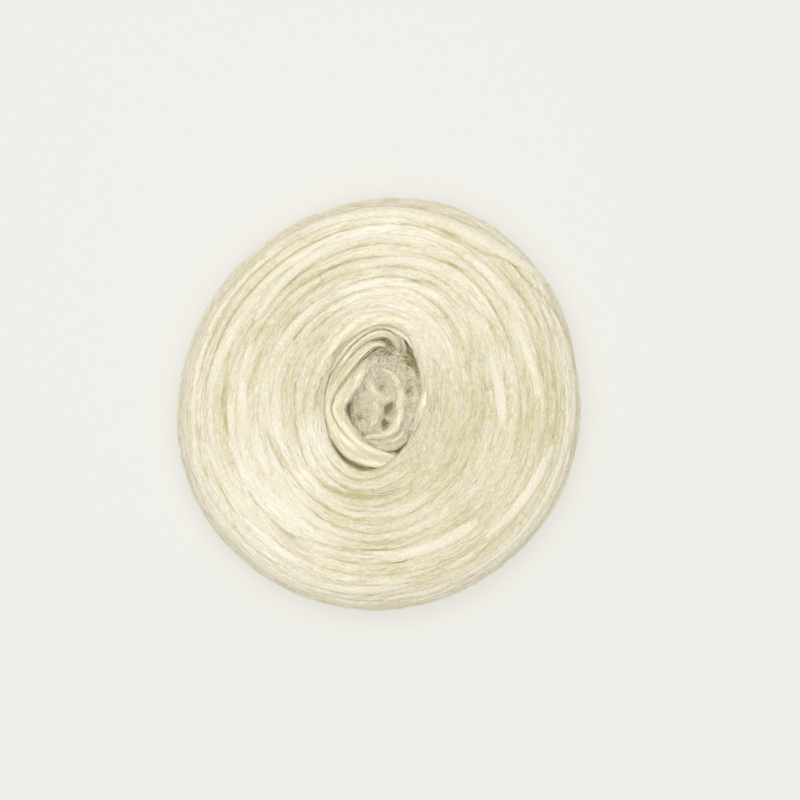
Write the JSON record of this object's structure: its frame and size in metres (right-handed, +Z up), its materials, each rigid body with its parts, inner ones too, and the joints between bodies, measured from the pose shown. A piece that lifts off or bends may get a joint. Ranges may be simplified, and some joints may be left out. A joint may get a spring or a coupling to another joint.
{
  "type": "unspun wool yarn",
  "caption": "Flat round plate of soft unspun wool roving, wound in a spiral round an oval eye, with the loose inner strands and a teased tuft of fibre in the middle.",
  "frame": {"origin": "on the surface that the plate lies on, under the middle of its outline", "axes": "+Z up through the eye of the plate, +Y towards the narrow top of the oval eye, +X to the right as seen from above"},
  "size_m": [0.178, 0.1822, 0.0448],
  "materials": {
    "wool": "matte cream fleece, fine fibres along the turns, soft sheen",
    "loose_wool": "matte pale cream fleece, fine fibres along the strand",
    "teased_wool": "matte, curly open fibre, darker in its hollows"
  },
  "bodies": {
    "root": {"wound_plate": "wool", "eye_strand_outer": "loose_wool", "eye_strand_inner": "loose_wool", "eye_tuft": "teased_wool"}
  },
  "joints": []
}
